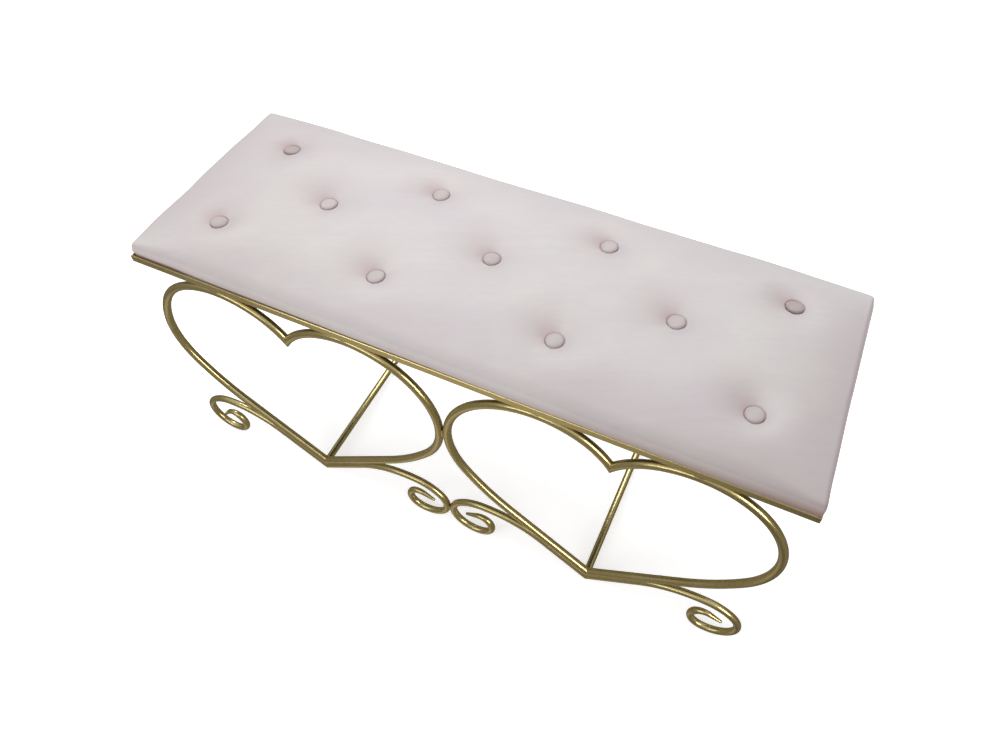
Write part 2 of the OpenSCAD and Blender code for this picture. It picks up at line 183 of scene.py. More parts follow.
def gold_paint():
    """Satin paint, with painted shade on the front of the bars towards the bench's two ends."""
    made, tree, shader = new_material("gold_paint")
    vector = place(tree)
    cloud = noise(tree, vector, 18, 3, 0.6)
    fleck = noise(tree, vector, 2400, 2, 0.6)
    dips = noise(tree, vector, 90, 3, 0.55)
    tone = tint(tree, GOLD_DEEP, GOLD_LIGHT, cloud, 0.3, 0.7)
    tone = tint(tree, tone, GOLD_FLECK, fleck, 0.55, 0.8, 0.2)
    along = tree.nodes.new("ShaderNodeSeparateXYZ")
    tree.links.new(vector, along.inputs[0])
    # Painted shade: the front of the bars darkens towards both ends, in place of darker reflections there.
    shaded_ends = tint(tree, tone, GOLD_PAINTED_SHADE, along.outputs[0], 0.1, 0.5, 0.62)
    shaded_ends = tint(tree, shaded_ends, GOLD_PAINTED_SHADE, along.outputs[0], -0.1, -0.5, 0.25)
    tone = tint(tree, tone, shaded_ends, facing(tree, FRONT), 0.8, 1.0)
    tree.links.new(tone, shader.inputs["Base Color"])
    tree.links.new(spread(tree, cloud, 0.3, 0.7, 0.20, 0.27), shader.inputs["Roughness"])
    shader.inputs["Metallic"].default_value = 0.92
    shader.inputs["Coat Weight"].default_value = 0.15
    shader.inputs["Coat Roughness"].default_value = 0.15
    bump(tree, shader, [(dips, 0.0003, 0.08), (fleck, 0.00001, 0.05)])
    return made


VELVET_COOL = (0.572, 0.532, 0.538)
VELVET_WARM = (0.592, 0.57, 0.545)
VELVET_PATCH = (0.53, 0.48, 0.505)
VELVET_STROKE = (0.63, 0.60, 0.59)
VELVET_NAP = (0.52, 0.485, 0.475)
VELVET_SLOPE_SHADE = (0.46, 0.37, 0.385)
VELVET_BACK_SLOPE_SHADE = (0.505, 0.465, 0.47)
VELVET_CREASE_SHADE = (0.47, 0.30, 0.32)
VELVET_PAINTED_SHADE = (0.23, 0.15, 0.12)


def velvet():
    """Short pile: painted shade follows the lean of the surface, except on the front, and darkens it in
    creases and folds.
    """
    made, tree, shader = new_material("velvet")
    vector = place(tree)
    cloud = noise(tree, vector, 6, 3, 0.55)
    patch = noise(tree, place(tree, (3, 7, 5), BRUSH_TURN), 1.6, 3, 0.6, 0.5)
    stroke = noise(tree, place(tree, (6, 120, 40), BRUSH_TURN), 1, 4, 0.65, 0.4)
    nap = noise(tree, place(tree, (60, 260, 100), BRUSH_TURN), 1, 3, 0.7)
    fuzz = noise(tree, vector, 1400, 2, 0.7)
    lean = facing(tree, SHADE_HEADING)
    flat = tint(tree, VELVET_COOL, VELVET_WARM, cloud, 0.35, 0.65)
    flat = tint(tree, flat, VELVET_PATCH, patch, 0.45, 0.7, 0.45)
    flat = tint(tree, flat, VELVET_STROKE, stroke, 0.35, 0.7, 0.3)
    flat = tint(tree, flat, VELVET_NAP, nap, 0.4, 0.65, 0.22)
    # Painted shade: slopes leaning towards the heading darken and redden, and slopes leaning away darken a
    # little.
    shade = tint(tree, flat, VELVET_SLOPE_SHADE, lean, 0.03, 0.75)
    shade = tint(tree, shade, VELVET_BACK_SLOPE_SHADE, lean, -0.03, -0.3)
    shade = tint(tree, shade, flat, facing(tree, FRONT), 0.5, 0.95)
    # Painted shade in the creases round the buttons.
    shade = tint(tree, shade, VELVET_CREASE_SHADE, vertex_value(tree, "crease_shade"), 0, 1)
    # Painted shade where the cover and the buttons lie in shade.
    shade = tint(tree, shade, VELVET_PAINTED_SHADE, vertex_value(tree, "painted_shade"), 0, 1)
    tree.links.new(shade, shader.inputs["Base Color"])
    shader.inputs["Roughness"].default_value = 0.92
    shader.inputs["Specular IOR Level"].default_value = 0.15
    shader.inputs["Sheen Weight"].default_value = 0.4
    shader.inputs["Sheen Roughness"].default_value = 0.4
    shader.inputs["Sheen Tint"].default_value = (1.0, 0.96, 0.95, 1.0)
    bump(tree, shader, [(stroke, 0.0005, 0.2), (fuzz, 0.00025, 0.3)])
    return made


def plywood():
    made, tree, shader = new_material("plywood")
    grain = noise(tree, place(tree, (3, 60, 400)), 1, 5, 0.6, 1.5)
    tone = tint(tree, (0.46, 0.31, 0.17), (0.63, 0.46, 0.28), grain, 0.3, 0.7)
    tree.links.new(tone, shader.inputs["Base Color"])
    shader.inputs["Roughness"].default_value = 0.7
    bump(tree, shader, [(grain, 0.0004, 0.3)])
    return made


def foam():
    made, tree, shader = new_material("foam")
    cells = noise(tree, place(tree), 700, 3, 0.7)
    tone = tint(tree, (0.72, 0.63, 0.42), (0.84, 0.77, 0.58), cells, 0.35, 0.65)
    tree.links.new(tone, shader.inputs["Base Color"])
    shader.inputs["Roughness"].default_value = 0.95
    bump(tree, shader, [(cells, 0.0006, 0.6)])
    return made


def underside_cloth():
    made, tree, shader = new_material("dust_cloth")
    dots = tree.nodes.new("ShaderNodeTexVoronoi")
    dots.inputs["Scale"].default_value = 420
    tree.links.new(place(tree), dots.inputs["Vector"])
    fibre = noise(tree, place(tree, (1, 3, 1)), 500, 4, 0.7, 1.0)
    tone = tint(tree, (0.012, 0.012, 0.013), (0.035, 0.035, 0.037), fibre, 0.3, 0.7)
    tree.links.new(tone, shader.inputs["Base Color"])
    shader.inputs["Roughness"].default_value = 0.85
    bump(tree, shader, [(dots.outputs["Distance"], 0.0002, 0.5), (fibre, 0.0002, 0.4)])
    return made


def twine():
    made, tree, shader = new_material("twine")
    lay = noise(tree, place(tree, (1, 1, 0.3)), 1800, 2, 0.6, 2.0)
    tone = blend_colours(tree, lay, (0.62, 0.57, 0.47), (0.83, 0.80, 0.72))
    tree.links.new(tone, shader.inputs["Base Color"])
    shader.inputs["Roughness"].default_value = 0.8
    bump(tree, shader, [(lay, 0.0002, 0.5)])
    return made


def bright_steel():
    made, tree, shader = new_material("bright_wire")
    brush = noise(tree, place(tree, (40, 40, 600)), 4, 3, 0.6)
    tree.links.new(spread(tree, brush, 0.3, 0.7, 0.22, 0.4), shader.inputs["Roughness"])
    tone = blend_colours(tree, brush, (0.60, 0.61, 0.62), (0.72, 0.72, 0.73))
    tree.links.new(tone, shader.inputs["Base Color"])
    shader.inputs["Metallic"].default_value = 1.0
    bump(tree, shader, [(brush, 0.0001, 0.15)])
    return made


FINISHES = {
    "gold_paint": gold_paint(),
    "velvet": velvet(),
    "plywood": plywood(),
    "foam": foam(),
    "dust_cloth": underside_cloth(),
    "twine": twine(),
    "bright_wire": bright_steel(),
}


def dress_nodes():
    """Gives each CAD node the finish that the record names."""
    for row in frame["record"]["subparts"]:
        data = frame["nodes"][row["node"]].data
        data.materials.clear()
        data.materials.append(FINISHES[row["material_slot"]])


def add_piece(name, mesh, slot, nodes=(), smooth_angle=40):
    """A finished mesh as a piece that rides on the bench and stands for the named nodes."""
    obj = bpy.data.objects.new(name, mesh)
    bpy.context.scene.collection.objects.link(obj)
    mesh.materials.append(FINISHES[slot])
    mesh.shade_smooth()
    mesh.set_sharp_from_angle(angle=math.radians(smooth_angle))
    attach(obj, "root")
    if nodes:
        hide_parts(*nodes)
    return obj


# Bent bars.
STRAIGHT_STEP = 0.01
BEND_STEP = 2.5


def walk(path):
    """Points (x, z, heading) along straight runs (0, length) and bends (radius, degrees), left positive."""
    x, z, heading = 0.0, 0.0, 0.0
    points = [(x, z, heading)]
    for radius, amount in path:
        if radius == 0:
            parts = max(2, int(amount / STRAIGHT_STEP))
            for _ in range(parts):
                x += amount / parts * math.cos(heading)
                z += amount / parts * math.sin(heading)
                points.append((x, z, heading))
            continue
        parts = max(2, int(amount / BEND_STEP))
        turn = math.radians(amount) / parts * (1 if radius > 0 else -1)
        for _ in range(parts):
            cx = x - radius * math.sin(heading)
            cz = z + radius * math.cos(heading)
            heading += turn
            x = cx + radius * math.sin(heading)
            z = cz - radius * math.cos(heading)
            points.append((x, z, heading))
    return points


def sweep(points, radii, sides=36):
    """A round bar through the points, as a bmesh."""
    bm = bmesh.new()
    rings = []
    for (x, z, heading), r in zip(points, radii):
        ring = []
        for k in range(sides):
            a = 2 * math.pi * k / sides
            n = r * math.cos(a)
            spot = (x - n * math.sin(heading), r * math.sin(a), z + n * math.cos(heading))
            ring.append(bm.verts.new(spot))
        rings.append(ring)
    for first, second in zip(rings, rings[1:]):
        for k in range(sides):
            m = (k + 1) % sides
            bm.faces.new((first[k], first[m], second[m], second[k]))
    bm.faces.new(rings[0])
    bm.faces.new(list(reversed(rings[-1])))
    return bm


def turned(points, start, slope):
    """The points turned by slope about the start of the path, and moved back along it."""
    c, s = math.cos(slope), math.sin(slope)
    return [(c * (x - start) - s * z, s * (x - start) + c * z, h + slope) for x, z, h in points]


def cut_right(bm):
    """Cuts a bar at the plane x = 0, keeps its right side and closes the cuts."""
    whole = bm.verts[:] + bm.edges[:] + bm.faces[:]
    bmesh.ops.bisect_plane(bm, geom=whole, plane_co=(0, 0, 0), plane_no=(1, 0, 0), clear_inner=True)
    open_edges = [e for e in bm.edges if e.is_boundary]
    bmesh.ops.holes_fill(bm, edges=open_edges)
    return bm


def placed_mesh(name, bm, hand, x, y, z):
    """The bmesh, mirrored to the left when hand is -1, as a mesh in its place."""
    made = bm.copy()
    if hand < 0:
        for v in made.verts:
            v.co.x = -v.co.x
        bmesh.ops.reverse_faces(made, faces=made.faces)
    bmesh.ops.recalc_face_normals(made, faces=made.faces)
    bmesh.ops.translate(made, verts=made.verts, vec=(x, y, z))
    mesh = bpy.data.meshes.new(name)
    made.to_mesh(mesh)
    made.free()
    return mesh


def heart_path():
    """The heart half: leg, slow bend, lobe and the bend into the notch, from the tip."""
    slope = math.radians(LEG_SLOPE)
    flank_end = slope + math.radians(FLANK[1])
    lobe_end = flank_end + math.radians(LOBE[1])
    half_w = HEART_PITCH / 2 - TUBE_D / 2 - WELD_GAP / 2
    leg = half_w - LOBE[0] + FLANK[0] * math.sin(slope) - (FLANK[0] - LOBE[0]) * math.sin(flank_end)
    leg /= math.cos(slope)
    flank_x = leg * math.cos(slope) - FLANK[0] * math.sin(slope)
    flank_z = leg * math.sin(slope) + FLANK[0] * math.cos(slope)
    lobe_x = flank_x + (FLANK[0] - LOBE[0]) * math.sin(flank_end)
    lobe_z = flank_z - (FLANK[0] - LOBE[0]) * math.cos(flank_end)
    notch_x = lobe_x + (LOBE[0] - NOTCH_R) * math.sin(lobe_end)
    notch_a = 180 + math.degrees(math.asin(notch_x / NOTCH_R) - lobe_end)
    past_notch = math.degrees(TUBE_D / NOTCH_R)
    return [(0, TUBE_D + leg), FLANK, LOBE, (NOTCH_R, notch_a + past_notch)], (lobe_x, lobe_z)


def scroll_sizes():
    """The scroll's run along the leg before its first bend, and the height where it meets the next one."""
    slope = math.radians(LEG_SLOPE)
    (sweep_r, sweep_a), (shoulder_r, shoulder_a), (curl_r, _) = SCROLL_BENDS[:3]
    sweep_end = slope - math.radians(sweep_a)
    shoulder_end = sweep_end - math.radians(shoulder_a)
    half_w = HEART_PITCH / 2 - ROD_D / 2 - WELD_GAP / 2
    lay = half_w - curl_r - sweep_r * math.sin(slope)
    lay += (sweep_r - shoulder_r) * math.sin(sweep_end)
    lay += (shoulder_r - curl_r) * math.sin(shoulder_end)
    lay /= math.cos(slope)
    touch_z = lay * math.sin(slope) - sweep_r * math.cos(slope)
    touch_z += (sweep_r - shoulder_r) * math.cos(sweep_end) + (shoulder_r - curl_r) * math.cos(shoulder_end)
    return lay, touch_z


# Where the tighter lobe is bent in, above its tip: how high, how far, and over what height and width.
BEND_Z = 0.305
BEND_IN = 0.003
BEND_TALL = 0.055
BEND_WIDE = 0.08


def bent_in(mesh, x, z):
    """The outer left lobe of the photographed bench was bent a little tighter than the others."""
    for v in mesh.vertices:
        beside = min(1, max(0, (x - HEART_PITCH / 4 - v.co.x) / BEND_WIDE))
        level = math.exp(-(((v.co.z - z) / BEND_TALL) ** 2))
        v.co.x += BEND_IN * beside * beside * (3 - 2 * beside) * level


def make_hearts(tip_z):
    path, _ = heart_path()
    points = turned(walk(path), TUBE_D, math.radians(LEG_SLOPE))
    bm = cut_right(sweep(points, [TUBE_D / 2] * len(points)))
    for side, y in (("front", -TUBE_Y), ("back", TUBE_Y)):
        for end, x in (("left", -HEART_PITCH / 2), ("right", HEART_PITCH / 2)):
            for half, hand in (("left", -1), ("right", 1)):
                node = f"{side}_{end}_heart_{half}_half"
                mesh = placed_mesh(node + "_tube", bm, hand, x, y, tip_z)
                if node == "front_left_heart_left_half":
                    bent_in(mesh, x, tip_z + BEND_Z)
                add_piece(node + "_tube", mesh, "gold_paint", [node])
    bm.free()


# The end of a scroll rod: the steps of its point, then the steps and the turn of its rounded cap.
POINT_STEPS = 12
CAP_STEPS = 6
CAP_TURN = 80


def scroll_bar(bends, lay):
    """A scroll rod that thins along its inner curl and ends in a blunt point; its bends turn right."""
    path = [(0, ROD_D + lay)] + [(-r, a) for r, a in bends]
    points = walk(path)
    curl = len(points) - len(walk(path[-1:])) + 1
    radii = [ROD_D / 2] * curl
    for i in range(1, len(points) - curl + 1):
        t = i / (len(points) - curl)
        radii.append((ROD_D + (CURL_END_D - ROD_D) * t) / 2)
    x, z, heading = points[-1]
    for i in range(1, POINT_STEPS + 1):
        t = i / POINT_STEPS
        points.append((x + POINT_L * t * math.cos(heading), z + POINT_L * t * math.sin(heading), heading))
        radii.append((CURL_END_D + (POINT_D - CURL_END_D) * t) / 2)
    x, z, heading = points[-1]
    for i in range(1, CAP_STEPS + 1):
        a = math.radians(CAP_TURN * i / CAP_STEPS)
        along = POINT_D / 2 * math.sin(a)
        points.append((x + along * math.cos(heading), z + along * math.sin(heading), heading))
        radii.append(POINT_D / 2 * math.cos(a))
    return cut_right(sweep(turned(points, ROD_D, math.radians(LEG_SLOPE)), radii, sides=32))


def make_scrolls(scroll_z):
    lay, _ = scroll_sizes()
    usual = scroll_bar(SCROLL_BENDS, lay)
    tight = scroll_bar(TIGHT_BENDS, lay)
    for side, y in (("front", -TUBE_Y), ("back", TUBE_Y)):
        for end, x in (("left", -HEART_PITCH / 2), ("right", HEART_PITCH / 2)):
            for half, hand in (("left", -1), ("right", 1)):
                node = f"{side}_{end}_scroll_{half}"
                bm = tight if node == "front_left_scroll_left" else usual
                mesh = placed_mesh(node + "_rod", bm, hand, x, y, scroll_z)
                add_piece(node + "_rod", mesh, "gold_paint", [node])
    usual.free()
    tight.free()


# Weld beads: half sizes along the seam, across it and up, and how far each lies from its bars' middle.
LOBE_BEAD = ((0.0022, 0.0016, 0.011), 0.0036)
CURL_BEAD = ((0.0018, 0.0013, 0.007), 0.0028)
RAIL_BEAD = ((0.010, 0.0014, 0.0016), 0.0042)
LEG_BEAD = ((0.009, 0.0013, 0.0016), 0.0030)
RAIL_BEAD_DROP = 0.0009
FIRST_LEG_BEAD = 0.045


def bead(bm, centre, reach, heading=0.0):
    """A small run of weld metal: an uneven, rippled ellipsoid, its length along heading in the XZ plane."""
    made = bmesh.ops.create_uvsphere(bm, u_segments=20, v_segments=12, radius=1.0)
    turn = Matrix.Rotation(-heading, 3, "Y")
    for v in made["verts"]:
        p = v.co.copy()
        ripple = 1 + 0.07 * math.sin(9 * p.x + centre[0] * 311)
        ripple += 0.05 * math.sin(5 * p.x + 3 * p.z + centre[2] * 97)
        p = Vector((p.x * reach[0], p.y * reach[1] * ripple, p.z * reach[2] * ripple))
        v.co = turn @ p + Vector(centre)


def leg_seam(run):
    """Where the seam between a leg and its scroll lies, this far along the leg."""
    slope = math.radians(LEG_SLOPE)
    up = TUBE_D / 2 + WELD_GAP / 2
    x = run * math.cos(slope) - up * math.sin(slope)
    z = run * math.sin(slope) + up * math.cos(slope) - (TUBE_D - ROD_D) / 2 * math.cos(slope)
    return x, z


def make_welds(tip_z, scroll_z):
    bm = bmesh.new()
    _, (lobe_x, lobe_z) = heart_path()
    lay, touch_z = scroll_sizes()
    for bar_y in (-TUBE_Y, TUBE_Y):
        for side in (-1, 1):
            bead(bm, (0, bar_y + side * LOBE_BEAD[1], tip_z + lobe_z), LOBE_BEAD[0])
            bead(bm, (0, bar_y + side * CURL_BEAD[1], scroll_z + touch_z), CURL_BEAD[0])
            for x in (-HEART_PITCH / 2, HEART_PITCH / 2):
                for hand in (-1, 1):
                    top = (x + hand * lobe_x, bar_y + side * RAIL_BEAD[1], RAIL_Z - RAIL_BEAD_DROP)
                    bead(bm, top, RAIL_BEAD[0])
                    for run in (FIRST_LEG_BEAD, lay):
                        seam_x, seam_z = leg_seam(run)
                        spot = (x + hand * seam_x, bar_y + side * LEG_BEAD[1], scroll_z + seam_z)
                        bead(bm, spot, LEG_BEAD[0], hand * math.radians(LEG_SLOPE))
    mesh = bpy.data.meshes.new("weld_beads")
    bm.to_mesh(mesh)
    bm.free()
    add_piece("weld_beads", mesh, "gold_paint")


# The pad, without what its edges add.
PAD_HALF_L = 0.4962
PAD_HALF_D = 0.1742
# Heights of its corners over the rail: front left, front right, back left, back right.
CORNER_HEIGHTS = (0.020, 0.021, 0.021, 0.025)
EDGE_HEIGHT = 0.021
LONG_EDGE_LIFT = 0.0055
SHORT_EDGE_LIFT = 0.003
CROWN_LIFT = 0.0185
# The cover's hole round a button, the height of its rim, and of its floor under the button.
SEAT_R = BUTTON_D / 2 + 0.0001
RIM_Z = BUTTON_LOW.z + 0.0031
PIT_Z = BUTTON_LOW.z - 0.0008
# Each edge as (place along it, value): how far its top stands out, and how far its foot laps over the rail.
LEFT_TOP = ((-0.175, 0.0010), (-0.12, 0.0014), (-0.045, -0.0012), (-0.01, 0.0004), (0.05, -0.0012),
            (0.12, -0.0040), (0.175, -0.0028))
RIGHT_TOP = ((-0.175, 0.0030), (-0.13, 0.0018), (0.0, -0.0008), (0.175, -0.0020))
FRONT_TOP = ((-0.5, 0.0), (-0.35, 0.0002), (0.0, 0.0012), (0.25, 0.0022), (0.5, 0.0016))
BACK_TOP = ((-0.5, 0.0), (-0.3, 0.0012), (-0.1, 0.0), (0.2, 0.0015), (0.5, 0.001))
LEFT_FOOT = ((-0.175, 0.0040), (-0.14, 0.0012), (0.0, 0.0008), (0.175, 0.0012))
RIGHT_FOOT = ((-0.175, 0.0038), (0.175, 0.0036))
FRONT_FOOT = ((-0.5, -0.0002), (-0.42, -0.0002), (-0.32, 0.0007), (-0.1, 0.0018), (0.1, 0.0030),
              (0.5, 0.0036))
BACK_FOOT = ((-0.5, 0.0010), (0.0, 0.0004), (0.5, 0.0012))
# How far in from an edge its top moves with it.
EDGE_BLEND = 0.03
# How round each corner is in plan, in the order of the heights, and the share of it that is cut away.
CORNER_R = (0.006, 0.006, 0.011, 0.009)
CORNER_CUT = 0.25
# The sides turn the corner over this length, bow out by this much half way down, and end this much
# over the rail. Their rings lie at these shares of the way down, then, under them, this far back in
# at these shares of the height over the rail, and last at these heights beside the rail.
CORNER_SPREAD = 0.004
SIDE_BOW = 0.0006
FOOT_LIFT = 0.0012
SIDE_SHARES = (0.08, 0.2, 0.35, 0.5, 0.65, 0.8, 0.92, 1.0)
UNDER_RINGS = ((0.0004, 0.6), (0.0012, 0.4), (0.0022, 0.3))
INSIDE_HEIGHTS = (RAIL_TOP + 0.0002, RAIL_TOP - 0.0015, PAD_LOW.z)
# Left of here the front of the cover stands a little off its rail.
GAP_X = -0.37
GAP_FADE = 0.05
GAP_H = 0.0030
# Painted shade darkens the front of the cover towards the rail, most at its right end: (place along X,
# shade).
FOOT_SHADE = ((-0.5, 0.45), (0.0, 0.55), (0.2, 0.65), (0.4, 0.75), (0.5, 1.0))
FOOT_SHADE_H = 0.024
FOOT_SHADE_IN = 0.03
# From here to the right painted shade darkens the whole front edge too: over what length, how much, and how
# far in.
FRONT_SHADE_X = 0.1
FRONT_SHADE_L = 0.35
FRONT_SHADE = 0.28
FRONT_SHADE_IN = 0.032
# Painted shade darkens the cover at the left end: (place along X, shade).
END_SHADE = ((-0.5, 0.11), (-0.36, 0.09), (-0.15, 0.0), (0.5, 0.0))
# Seen from above, a button's pull is shortest at this turn about it, and reaches further on the other side.
PULL_TURN = math.radians(-27)
PULL_NEAR = 0.0125
PULL_FAR = 0.013
# On that side the pull also slackens the cover further out, and painted shade greys it there.
HALO_REACH = 0.034
HALO_DEPTH = 0.0022
HALO_SHADE = 0.10
# Small pleats run to each button: how many, how deep, and how far from it they are deepest.
PLEATS = 9
PLEAT_DEPTH = 0.012
PLEAT_R = 0.005
# How each tied button strays from its place: along X, along Y, upwards, and how much painted shade its velvet
# carries.
STRAYS = (
    (0.0025, 0.0, -0.0010, 0.36), (-0.0010, 0.0010, 0.0005, 0.25), (-0.0005, 0.0, 0.0005, 0.24),
    (-0.0030, -0.0035, 0.0, 0.23),
    (-0.0040, 0.0020, 0.0025, 0.22), (-0.0030, 0.0020, 0.0025, 0.27), (0.0, 0.0005, 0.0020, 0.24),
    (0.0030, -0.0035, -0.0040, 0.50), (0.0025, -0.0015, -0.0010, 0.26), (0.0040, 0.0010, 0.0, 0.22),
    (0.0030, 0.0, 0.0, 0.46))
# Steps of the pad's mesh, and its lines' distances from an edge.
COARSE_STEP = 0.004
FINE_STEP = 0.0012
FINE_REACH = 0.021
EDGE_LINES = (0.0, 0.0002, 0.0007, 0.0015, 0.0026, 0.0040, 0.0056, 0.0074, 0.0095, 0.0120, 0.0148)
# The cloth: its grid, its time, what holds it, and the most that it may move.
CLOTH_COLUMNS = 181
CLOTH_ROWS = 65
CLOTH_FRAMES = 20
CLOTH_RIM = 0.009
CLOTH_RING = 0.002
CLOTH_CAP = 0.004
CLOTH_SMOOTHING = 3


def tuft_places():
    """Each button's x, y, rise above its place in the frame, and painted shade."""
    rows = []
    for count, y in ((4, -ROW_SPACING), (3, 0.0), (4, ROW_SPACING)):
        for i in range(count):
            rows.append(((i - (count - 1) / 2) * TUFT_SPACING, y))
    return [(x + dx, y + dy, up, shade) for (x, y), (dx, dy, up, shade) in zip(rows, STRAYS)]


def grid_lines(half, centres):
    """Lines across the pad from edge to edge, close together at its rounded edges and at the buttons."""
    lines = [half - v for v in EDGE_LINES]
    spot = EDGE_LINES[-1] - half
    while spot < half - EDGE_LINES[-1] - FINE_STEP:
        gap = min(abs(spot - c) for c in centres)
        spot += FINE_STEP if gap < FINE_REACH else COARSE_STEP
        lines.append(spot)
    lines += [v - half for v in EDGE_LINES]
    return np.array(sorted(lines))


def grid_faces(rows, cols):
    faces = []
    for j in range(rows - 1):
        for i in range(cols - 1):
            a = j * cols + i
            faces.append((a, a + 1, a + cols + 1, a + cols))
    return faces


def quarter(d, radius):
    """Height share of a quarter circle at a distance d from the edge."""
    t = np.clip(d / radius, 0, 1)
    return np.sqrt(np.clip(1 - (1 - t) ** 2, 0, 1))


def swell(d, width):
    """A steep rise from the edge that levels out at the width."""
    t = np.clip(d / width, 0, 1)
    return 1 - (1 - t) ** 2.4


def wave(x, y, scale, seed):
    """Smooth uneven waves of height about one, from a few crossing sines."""
    total = 0
    for k in range(5):
        a = seed * 1.7 + k * 2.399
        f = scale * (1 + 0.37 * k)
        total = total + np.sin(f * (x * math.cos(a) + y * math.sin(a)) + seed * 3.1 + k * 1.3) / (1 + 0.5 * k)
    return total / 2.4


def along_edge(spots, at):
    """Smooth values between the (place, value) spots of an edge."""
    step = np.interp(at, [spot for spot, _ in spots], range(len(spots)))
    first = np.clip(np.floor(step).astype(int), 0, len(spots) - 2)
    t = step - first
    t = t * t * (3 - 2 * t)
    values = np.array([value for _, value in spots])
    return values[first] * (1 - t) + values[first + 1] * t


def crown_height(x, y):
    """The pad before it is tufted: tall rounded edges that swell to a crown."""
    dx = PAD_HALF_L - np.abs(x)
    dy = PAD_HALF_D - np.abs(y)
    u = (x / PAD_HALF_L + 1) / 2
    v = (y / PAD_HALF_D + 1) / 2
    front = CORNER_HEIGHTS[0] * (1 - u) + CORNER_HEIGHTS[1] * u
    back = CORNER_HEIGHTS[2] * (1 - u) + CORNER_HEIGHTS[3] * u
    edge = (front * (1 - v) + back * v - EDGE_HEIGHT) * (1 - swell(dx, 0.3) * swell(dy, 0.15))
    edge += EDGE_HEIGHT
    along = swell(dx, 0.17)
    across = swell(dy, 0.12)
    z = RAIL_TOP + edge + LONG_EDGE_LIFT * along + SHORT_EDGE_LIFT * across + CROWN_LIFT * along * across
    round_x = 0.004 + 0.003 * swell(dy, 0.10)
    soft_front = np.where(y < 0, 1.0, 0.0)
    round_y = 0.004 + 0.002 * soft_front + (0.005 + 0.005 * soft_front) * swell(dx, 0.15)
    z = z - (round_x + round_y) / 2 * (1 - quarter(dx, round_x) * quarter(dy, round_y))
    return z + 0.0011 * wave(x, y, 14, 1.0) + 0.0004 * wave(x, y, 45, 2.0)


def tufted(x, y, z):
    """Draws the surface z down to its buttons; also gives its painted crease shade and the slack beside each
    button.
    """
    sink = np.zeros_like(x)
    floor_z = np.full_like(x, RIM_Z)
    hole = np.zeros_like(x)
    crease_shade = np.zeros_like(x)
    halo = np.zeros_like(x)
    for n, (bx, by, up, _) in enumerate(tuft_places()):
        r = np.hypot(x - bx, y - by)
        turn = np.arctan2(y - by, x - bx)
        past = np.clip(r - SEAT_R, 0, None)
        upper = 0.5 - 0.5 * np.cos(turn - PULL_TURN)
        reach = PULL_NEAR + PULL_FAR * upper + 0.001 * np.sin(2 * turn + n)
        one = np.exp(-((past / reach) ** 1.1)) * (1 - 0.16 * (1 - upper))
        pleats = PLEAT_DEPTH * np.sin(PLEATS * turn + 1.7 * n)
        one = one + pleats * np.exp(-((past - PLEAT_R) / PLEAT_R) ** 2)
        floor_z = np.where(one > sink, RIM_Z + up, floor_z)
        sink = np.maximum(sink, one)
        cut = np.clip((SEAT_R + 0.0006 - r) / 0.0014, 0, 1)
        hole = np.maximum(hole, cut * cut * (3 - 2 * cut))
        # Painted shade: a thin ring at each hole, and more on the pulled side of each button.
        crease_shade = np.maximum(crease_shade, np.clip(1 - (r - SEAT_R) / 0.0010, 0, 0.35))
        crease_shade = np.maximum(crease_shade, 0.6 * upper * upper * np.exp(-past / 0.009))
        halo = np.maximum(halo, upper * np.exp(-((past / HALO_REACH) ** 1.6)))
    z = z - HALO_DEPTH * halo
    z = z * (1 - sink) + floor_z * sink
    z = z * (1 - hole) + (floor_z - RIM_Z + PIT_Z) * hole
    return z, crease_shade, halo


